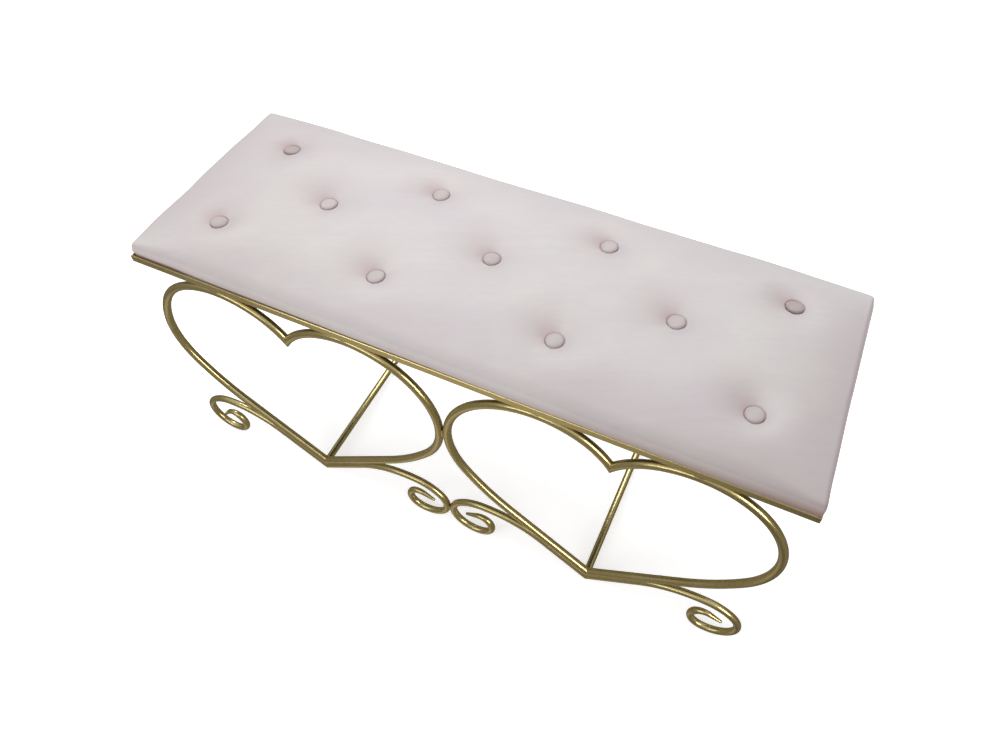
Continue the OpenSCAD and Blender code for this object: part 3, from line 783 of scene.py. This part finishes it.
def held_shift():
    """Fills the cover out like cloth held at its rim and its buttons; gives its moves on a grid."""
    xs = np.linspace(-PAD_HALF_L, PAD_HALF_L, CLOTH_COLUMNS)
    ys = np.linspace(-PAD_HALF_D, PAD_HALF_D, CLOTH_ROWS)
    x, y = np.meshgrid(xs, ys)
    z, _, _ = tufted(x, y, crown_height(x, y))
    near_button = np.zeros(x.shape, bool)
    for bx, by, _, _ in tuft_places():
        near_button |= np.hypot(x - bx, y - by) < SEAT_R + CLOTH_RING
    near_rim = (PAD_HALF_L - np.abs(x) < CLOTH_RIM) | (PAD_HALF_D - np.abs(y) < CLOTH_RIM)
    start = np.stack([x, y, z], -1)
    rows, cols = x.shape
    mesh = bpy.data.meshes.new("cover_trial")
    mesh.from_pydata(start.reshape(-1, 3).tolist(), [], grid_faces(rows, cols))
    trial = bpy.data.objects.new("cover_trial", mesh)
    scene = bpy.context.scene
    scene.collection.objects.link(trial)
    held = trial.vertex_groups.new(name="held")
    held.add(np.flatnonzero((near_button | near_rim).reshape(-1)).tolist(), 1.0, "REPLACE")
    cloth = trial.modifiers.new("cover", "CLOTH")
    cloth.settings.vertex_group_mass = "held"
    cloth.settings.quality = 6
    cloth.settings.mass = 0.4
    cloth.settings.air_damping = 4
    cloth.settings.tension_stiffness = 20
    cloth.settings.compression_stiffness = 10
    cloth.settings.shear_stiffness = 6
    cloth.settings.bending_stiffness = 4
    cloth.settings.shrink_min = -0.001
    cloth.settings.effector_weights.gravity = 0
    cloth.settings.use_pressure = True
    cloth.settings.uniform_pressure_force = 4
    cloth.collision_settings.use_collision = False
    cloth.point_cache.frame_start = 1
    cloth.point_cache.frame_end = CLOTH_FRAMES
    for number in range(1, CLOTH_FRAMES + 1):
        scene.frame_set(number)
    settled = trial.evaluated_get(bpy.context.evaluated_depsgraph_get())
    ended = np.empty(len(mesh.vertices) * 3)
    settled.data.vertices.foreach_get("co", ended)
    scene.frame_set(1)
    bpy.data.objects.remove(trial)
    bpy.data.meshes.remove(mesh)
    shift = ended.reshape(rows, cols, 3) - start
    for _ in range(CLOTH_SMOOTHING):
        shift[1:-1] = (shift[:-2] + 2 * shift[1:-1] + shift[2:]) / 4
        shift[:, 1:-1] = (shift[:, :-2] + 2 * shift[:, 1:-1] + shift[:, 2:]) / 4
    length = np.linalg.norm(shift, axis=2, keepdims=True)
    return shift * np.minimum(1, CLOTH_CAP / np.maximum(length, 1e-9))


def sample_grid(grid, x, y):
    """Values between the points of an even grid over the pad."""
    rows, cols = grid.shape[:2]
    fx = np.clip((x / PAD_HALF_L + 1) / 2 * (cols - 1), 0, cols - 1.001)
    fy = np.clip((y / PAD_HALF_D + 1) / 2 * (rows - 1), 0, rows - 1.001)
    i = fx.astype(int)
    j = fy.astype(int)
    u = (fx - i)[..., None]
    v = (fy - j)[..., None]
    low = grid[j, i] * (1 - u) + grid[j, i + 1] * u
    high = grid[j + 1, i] * (1 - u) + grid[j + 1, i + 1] * u
    return low * (1 - v) + high * v


def edge_offsets(x, y, left, right, front, back):
    """How far the point moves outwards along X and along Y for the edges next to it."""
    out_x = np.where(x < 0, -along_edge(left, y), along_edge(right, y))
    out_y = np.where(y < 0, -along_edge(front, x), along_edge(back, x))
    return out_x, out_y


def near_edges(x, y, width):
    """How near each point is to the pad's ends and to its long sides: 1 at the edge, 0 from the width on."""
    near_end = np.clip(1 - (PAD_HALF_L - np.abs(x)) / width, 0, 1) ** 2
    near_side = np.clip(1 - (PAD_HALF_D - np.abs(y)) / width, 0, 1) ** 2
    return near_end, near_side


def corner_radius(x, y):
    front = np.where(x < 0, CORNER_R[0], CORNER_R[1])
    back = np.where(x < 0, CORNER_R[2], CORNER_R[3])
    return np.where(y < 0, front, back)


def shape_edges(points, x, y):
    """Moves the edges of the top in and out, and rounds its corners in plan."""
    near_end, near_side = near_edges(x, y, EDGE_BLEND)
    out_x, out_y = edge_offsets(x, y, LEFT_TOP, RIGHT_TOP, FRONT_TOP, BACK_TOP)
    points[..., 0] += out_x * near_end
    points[..., 1] += out_y * near_side
    corner = corner_radius(x, y)
    near_end, near_side = near_edges(x, y, corner)
    cut = CORNER_CUT * corner * near_end * near_side
    points[..., 0] -= np.sign(x) * cut
    points[..., 1] -= np.sign(y) * cut


def rim_of(rows, cols):
    """The outer points of a grid in turn, from the front left corner to the right."""
    rim = list(range(cols))
    rim += [j * cols + cols - 1 for j in range(1, rows)]
    rim += [(rows - 1) * cols + i for i in range(cols - 2, -1, -1)]
    rim += [j * cols for j in range(rows - 2, 0, -1)]
    return rim


def side_rings(top, x, y):
    """Rings from the rim of the top down the sides, in under them, and down inside the frame.

    Also gives how many of them show, and how far each point lies in the gap at the front left.
    """
    on_end = np.clip((np.abs(x) - PAD_HALF_L + CORNER_SPREAD) / CORNER_SPREAD, 0, 1)
    on_side = np.clip((np.abs(y) - PAD_HALF_D + CORNER_SPREAD) / CORNER_SPREAD, 0, 1)
    foot_x, foot_y = edge_offsets(x, y, LEFT_FOOT, RIGHT_FOOT, FRONT_FOOT, BACK_FOOT)
    pull = CORNER_CUT * corner_radius(x, y) * on_end * on_side
    base = np.stack([x - np.sign(x) * pull, y - np.sign(y) * pull, top[:, 2]], -1)
    foot = base + np.stack([foot_x * on_end, foot_y * on_side, top[:, 2] * 0], -1)
    in_gap = np.clip((GAP_X - x) / GAP_FADE, 0, 1) * np.clip(1 - (y + PAD_HALF_D) / 0.01, 0, 1)
    foot_h = FOOT_LIFT + GAP_H * in_gap
    foot[:, 2] = RAIL_TOP + foot_h
    outward = np.stack([np.sign(x) * on_end, np.sign(y) * on_side, x * 0], -1)
    rings = []
    for t in SIDE_SHARES:
        rings.append(top * (1 - t) + foot * t + outward * SIDE_BOW * math.sin(math.pi * t))
    shown = len(rings)
    for back_by, share in UNDER_RINGS:
        ring = foot - outward * back_by
        inside = np.abs(ring) < np.abs(base)
        ring = np.where(inside & (outward != 0), base, ring)
        ring[:, 2] = RAIL_TOP + foot_h * share
        rings.append(ring)
    for z_at in INSIDE_HEIGHTS:
        ring = base.copy()
        ring[:, 2] = z_at
        rings.append(ring)
    return rings, shown, in_gap


def painted_cover_shade(at, halo, gap_shadow):
    """Painted shade on the cover: to the foot of the front, beside buttons, in the gap and at the left end.
    """
    from_front = np.clip(at[:, 1] + PAD_HALF_D, 0, None)
    level = np.clip((RAIL_TOP + FOOT_SHADE_H - at[:, 2]) / FOOT_SHADE_H, 0, 1)
    level *= np.clip(1 - from_front / FOOT_SHADE_IN, 0, 1)
    shade = np.interp(at[:, 0], *zip(*FOOT_SHADE)) * level ** 1.3
    rightward = np.clip((at[:, 0] - FRONT_SHADE_X) / FRONT_SHADE_L, 0, 1)
    shade += FRONT_SHADE * rightward * np.exp(-from_front / FRONT_SHADE_IN)
    shade[:halo.size] += HALO_SHADE * halo.reshape(-1)
    shade = np.maximum(shade, gap_shadow)
    return shade + np.interp(at[:, 0], *zip(*END_SHADE))


def pad_mesh():
    """Velvet over its padding: the tufted top, its edges, and sides that lap the rail and go down in it."""
    tufts = tuft_places()
    xs = grid_lines(PAD_HALF_L, sorted({t[0] for t in tufts}))
    ys = grid_lines(PAD_HALF_D, sorted({t[1] for t in tufts}))
    x, y = np.meshgrid(xs, ys)
    z, crease_shade, halo = tufted(x, y, crown_height(x, y))
    points = np.stack([x, y, z], -1)
    points += sample_grid(held_shift(), x, y)
    shape_edges(points, x, y)
    rows, cols = x.shape
    verts = points.reshape(-1, 3).tolist()
    faces = grid_faces(rows, cols)
    rim = rim_of(rows, cols)
    count = len(rim)
    top = np.array([verts[k] for k in rim])
    rings, shown, in_gap = side_rings(top, x.reshape(-1)[rim], y.reshape(-1)[rim])
    # Painted shadow on the rings under the side in the gap at the front left.
    gap_shadow = np.zeros(len(verts) + len(rings) * count)
    gap_shadow[len(verts) + shown * count:] = np.tile(in_gap, len(rings) - shown)
    last = rim
    for ring in rings:
        new = list(range(len(verts), len(verts) + count))
        verts += ring.tolist()
        for k in range(count):
            m = (k + 1) % count
            faces.append((last[m], last[k], new[k], new[m]))
        last = new
    faces.append(tuple(last))
    mesh = bpy.data.meshes.new("tufted_pad")
    mesh.from_pydata(verts, [], faces)
    # Painted crease shade on the points of the top.
    painted_crease_shade = np.zeros(len(verts))
    painted_crease_shade[:crease_shade.size] = crease_shade.reshape(-1)
    mesh.attributes.new("crease_shade", "FLOAT", "POINT").data.foreach_set("value", painted_crease_shade)
    # Painted shade on every point of the cover.
    shade = painted_cover_shade(np.array(verts), halo, gap_shadow)
    mesh.attributes.new("painted_shade", "FLOAT", "POINT").data.foreach_set("value", shade)
    bm = bmesh.new()
    bm.from_mesh(mesh)
    bmesh.ops.recalc_face_normals(bm, faces=bm.faces)
    bm.to_mesh(mesh)
    bm.free()
    return mesh


def make_pad():
    pad = add_piece("tufted_pad", pad_mesh(), "velvet", ["velvet_cover", "foam_pad"], 80)


# A button's section from its middle to under its rim, as shares of its radius and height.
BUTTON_SECTION = (
    (0.0, 1.0), (0.2, 0.997), (0.4, 0.985), (0.6, 0.955), (0.76, 0.90), (0.87, 0.82), (0.94, 0.72),
    (0.98, 0.60), (1.0, 0.42), (0.985, 0.22), (0.93, 0.05))
BUTTON_SIDES = 48
# From this share of its radius a button's velvet gets painted crease shade, this much at its rim.
CREASE_SHADE_FROM = 0.93
RIM_CREASE_SHADE = 0.22
# A button with more painted shade than this leans back.
UPRIGHT_SHADE = 0.32


def make_buttons():
    """Covered buttons: a low dome whose velvet rolls over the rim and pinches in under it."""
    half = BUTTON_D / 2
    bm = bmesh.new()
    crease_shade = bm.verts.layers.float.new("crease_shade")
    painted_shade = bm.verts.layers.float.new("painted_shade")
    for n, (bx, by, up, shade) in enumerate(tuft_places()):
        lean_back = math.radians(60 * max(0.0, shade - UPRIGHT_SHADE) + 2 * math.sin(5.1 * n + 1))
        lean_side = math.radians(3 * math.cos(3.7 * n))
        tilt = Matrix.Rotation(lean_side, 3, "Y") @ Matrix.Rotation(-lean_back, 3, "X")
        centre = Vector((bx, by, BUTTON_LOW.z + up))
        rings = []
        for share, height in BUTTON_SECTION:
            ring = []
            for k in range(BUTTON_SIDES if share else 1):
                a = 2 * math.pi * k / BUTTON_SIDES
                fold = 1 + 0.008 * math.sin(13 * a + n) * share ** 8
                flat = Vector((half * share * fold * math.cos(a), half * share * fold * math.sin(a), 0))
                point = tilt @ flat + Vector((0, 0, BUTTON_H * height))
                v = bm.verts.new(centre + point)
                v[crease_shade] = max(0.0, (share - CREASE_SHADE_FROM) / (1 - CREASE_SHADE_FROM)) * RIM_CREASE_SHADE
                # Each button's painted shade.
                v[painted_shade] = shade
                ring.append(v)
            rings.append(ring)
        for k in range(BUTTON_SIDES):
            bm.faces.new((rings[0][0], rings[1][k], rings[1][(k + 1) % BUTTON_SIDES]))
        for first, second in zip(rings[1:], rings[2:]):
            for k in range(BUTTON_SIDES):
                m = (k + 1) % BUTTON_SIDES
                bm.faces.new((first[k], second[k], second[m], first[m]))
        bm.faces.new(list(reversed(rings[-1])))
    bmesh.ops.recalc_face_normals(bm, faces=bm.faces)
    mesh = bpy.data.meshes.new("covered_buttons")
    bm.to_mesh(mesh)
    bm.free()
    buttons = add_piece("covered_buttons", mesh, "velvet", ["tuft_buttons"], 80)


# The underside cloth: its thickness, its depth in its box, and how it hangs between straps and edges.
CLOTH_THICK = 0.0004
CLOTH_LAY = 0.0001
HANG = 0.0014
HANG_REACH = 0.08
HANG_EDGE = 0.03
HANG_HALF_L = 0.489
HANG_HALF_D = 0.165
STRAPS_X = (-1 / 3, 0.0, 1 / 3)
STRAP_HALF_W = 0.0125


def make_dust_cloth():
    """The cloth under the seat: it hangs a little between the straps."""
    low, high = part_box("dust_cloth")
    bm = bmesh.new()
    columns, lines = 96, 40
    grid = []
    for j in range(lines + 1):
        row = []
        for i in range(columns + 1):
            x = low.x + (high.x - low.x) * i / columns
            y = low.y + (high.y - low.y) * j / lines
            row.append(bm.verts.new((x, y, high.z - CLOTH_LAY)))
        grid.append(row)
    for j in range(lines):
        for i in range(columns):
            bm.faces.new((grid[j][i], grid[j][i + 1], grid[j + 1][i + 1], grid[j + 1][i]))
    for v in bm.verts:
        gap = min(abs(v.co.x - s) for s in STRAPS_X)
        free = min(max(gap - STRAP_HALF_W, 0), HANG_REACH) / HANG_REACH
        free *= min(max(HANG_HALF_L - abs(v.co.x), 0), HANG_EDGE) / HANG_EDGE
        across = max(0.0, 1 - (v.co.y / HANG_HALF_D) ** 2)
        v.co.z -= HANG * free * across * (1 + 0.3 * math.sin(60 * v.co.x + 40 * v.co.y))
    bmesh.ops.solidify(bm, geom=bm.faces, thickness=CLOTH_THICK)
    bmesh.ops.recalc_face_normals(bm, faces=bm.faces)
    mesh = bpy.data.meshes.new("underside_cloth")
    bm.to_mesh(mesh)
    bm.free()
    cloth = add_piece("underside_cloth", mesh, "dust_cloth", ["dust_cloth"])


# Floor, wall, light and camera.
FLOOR_REACH = 8.0
WALL_R = 7.9
WALL_LOW = -4.0
WALL_HIGH = 9.0
WALL_SIDES = 48


def stage_object(name, verts, faces, material):
    """A mesh that belongs to the setting; it never shows in the bench's metal."""
    mesh = bpy.data.meshes.new(name)
    mesh.from_pydata(verts, [], faces)
    mesh.materials.append(material)
    obj = bpy.data.objects.new(name, mesh)
    bpy.context.scene.collection.objects.link(obj)
    obj.visible_glossy = False
    return obj


def make_floor():
    """A lit floor, clear when seen from below, so that the underside of the bench can be looked at."""
    made, tree, shader = new_material("floor")
    colour = blend_colours(tree, noise(tree, place(tree), 3, 2), (0.86, 0.86, 0.86), (0.88, 0.88, 0.88))
    tree.links.new(colour, shader.inputs["Base Color"])
    shader.inputs["Roughness"].default_value = 0.9
    shader.inputs["Specular IOR Level"].default_value = 0.1
    shader.inputs["Emission Color"].default_value = (1, 1, 1, 1)
    shader.inputs["Emission Strength"].default_value = 0.6
    geometry = tree.nodes.new("ShaderNodeNewGeometry")
    tree.links.new(spread(tree, geometry.outputs["Backfacing"], 0, 1, 1, 0), shader.inputs["Alpha"])
    corners = [(x, y, 0) for x, y in ((-1, -1), (1, -1), (1, 1), (-1, 1))]
    corners = [(x * FLOOR_REACH, y * FLOOR_REACH, z) for x, y, z in corners]
    stage_object("floor", corners, [(0, 1, 2, 3)], made)


def make_backdrop():
    """A plain pale wall far behind, all round; it does not light the bench."""
    made, tree, shader = new_material("backdrop")
    colour = blend_colours(tree, noise(tree, place(tree), 0.5, 2), (0.97, 0.97, 0.97), (1.0, 1.0, 1.0))
    tree.links.new(colour, shader.inputs["Emission Color"])
    shader.inputs["Emission Strength"].default_value = 1.0
    shader.inputs["Base Color"].default_value = (0, 0, 0, 1)
    shader.inputs["Specular IOR Level"].default_value = 0.0
    verts = []
    faces = []
    for k in range(WALL_SIDES):
        a = 2 * math.pi * k / WALL_SIDES
        m = (k + 1) % WALL_SIDES
        verts.append((WALL_R * math.cos(a), WALL_R * math.sin(a), WALL_LOW))
        verts.append((WALL_R * math.cos(a), WALL_R * math.sin(a), WALL_HIGH))
        faces.append((2 * k, 2 * k + 1, 2 * m + 1, 2 * m))
    wall = stage_object("backdrop", verts, faces, made)
    wall.visible_diffuse = False
    wall.visible_shadow = False


def area_light(name, size, power, location, target, colour=(1, 1, 1)):
    data = bpy.data.lights.new(name, "AREA")
    data.shape = "RECTANGLE"
    data.size, data.size_y = size
    data.energy = power
    data.color = colour
    obj = bpy.data.objects.new(name, data)
    obj.location = location
    obj.rotation_euler = (Vector(target) - Vector(location)).to_track_quat("-Z", "Y").to_euler()
    bpy.context.scene.collection.objects.link(obj)
    return obj


def make_lights():
    """A broad light above the back, a low strip in front, a tall strip at the right that only the metal
    mirrors, and a soft fill that it does not."""
    area_light("broad", (1.6, 1.1), 33, (-0.5, 0.85, 2.2), (0, 0, 0.4), (0.97, 0.98, 1.0))
    area_light("low_front", (1.6, 0.3), 6, (-0.5, -1.9, 1.3), (0, -0.17, 0.3))
    tall = area_light("tall_right", (0.5, 1.3), 22, (2.0, -1.1, 1.1), (0, -0.17, 0.25), (1.0, 0.97, 0.9))
    tall.visible_diffuse = False
    fill = area_light("front_fill", (0.9, 0.9), 6, (-1.2, -1.8, 0.9), (0, -0.17, 0.44))
    fill.visible_glossy = False


# The studio round the bench, from straight down (0) to straight up (1).
STUDIO = ((0.0, (0.23, 0.21, 0.18)), (0.28, (0.23, 0.21, 0.18)), (0.42, (0.25, 0.23, 0.20)),
          (0.56, (0.26, 0.25, 0.23)), (0.68, (0.36, 0.36, 0.36)), (0.80, (0.62, 0.62, 0.63)),
          (1.0, (0.90, 0.90, 0.92)))
STUDIO_STRENGTH = 0.9
# The lit floor in front is brightest in this direction, and the floor behind is dim.
FLOOR_GLOW = (-0.246, -0.517, -0.8215)
GLOW_COLOUR = (0.58, 0.53, 0.45)
DIM_COLOUR = (0.21, 0.185, 0.145)


def make_studio():
    world = bpy.data.worlds.new("studio")
    bpy.context.scene.world = world
    world.use_nodes = True
    tree = world.node_tree
    tree.nodes.clear()
    coord = tree.nodes.new("ShaderNodeTexCoord")
    split = tree.nodes.new("ShaderNodeSeparateXYZ")
    tree.links.new(coord.outputs["Generated"], split.inputs[0])
    ramp = tree.nodes.new("ShaderNodeValToRGB")
    while len(ramp.color_ramp.elements) < len(STUDIO):
        ramp.color_ramp.elements.new(0.5)
    for element, (at, colour) in zip(ramp.color_ramp.elements, STUDIO):
        element.position = at
        element.color = colour + (1,)
    tree.links.new(spread(tree, split.outputs["Z"], -1, 1, 0, 1), ramp.inputs[0])
    glow = facing(tree, FLOOR_GLOW, "Generated")
    low = tint(tree, ramp.outputs[0], GLOW_COLOUR, glow, 0.91, 0.998)
    low = tint(tree, low, DIM_COLOUR, split.outputs["Y"], -0.3, 0.6)
    sky = tint(tree, low, ramp.outputs[0], split.outputs["Z"], 0.3, 0.7)
    back = tree.nodes.new("ShaderNodeBackground")
    tree.links.new(sky, back.inputs["Color"])
    back.inputs["Strength"].default_value = STUDIO_STRENGTH
    out = tree.nodes.new("ShaderNodeOutputWorld")
    tree.links.new(back.outputs[0], out.inputs[0])
    bpy.context.scene.view_settings.view_transform = "Standard"


# The photograph's own view: its turn, tilt and roll in degrees, its lens in millimetres, and its place.
CAMERA_TURN = (-24.47, 53.33, -0.46)
CAMERA_LENS = 28.71
CAMERA_SENSOR = 36
CAMERA_PLACE = (0.3346, -0.7096, 1.2644)


def make_camera():
    yaw, pitch, roll = (math.radians(a) for a in CAMERA_TURN)
    level = math.cos(pitch)
    forward = Vector((math.sin(yaw) * level, math.cos(yaw) * level, -math.sin(pitch)))
    right = Vector((math.cos(yaw), -math.sin(yaw), 0))
    down = forward.cross(right)
    turned_right = math.cos(roll) * right + math.sin(roll) * down
    turned_down = -math.sin(roll) * right + math.cos(roll) * down
    data = bpy.data.cameras.new("camera")
    data.sensor_width = CAMERA_SENSOR
    data.lens = CAMERA_LENS
    camera = bpy.data.objects.new("camera", data)
    camera.matrix_world = Matrix((turned_right, -turned_down, -forward)).transposed().to_4x4()
    camera.location = CAMERA_PLACE
    bpy.context.scene.collection.objects.link(camera)
    bpy.context.scene.camera = camera


make_camera()
dress_nodes()
make_hearts(TIP_Z)
make_scrolls(SCROLL_Z)
make_welds(TIP_Z, SCROLL_Z)
make_pad()
make_buttons()
make_dust_cloth()
make_floor()
make_backdrop()
make_lights()
make_studio()
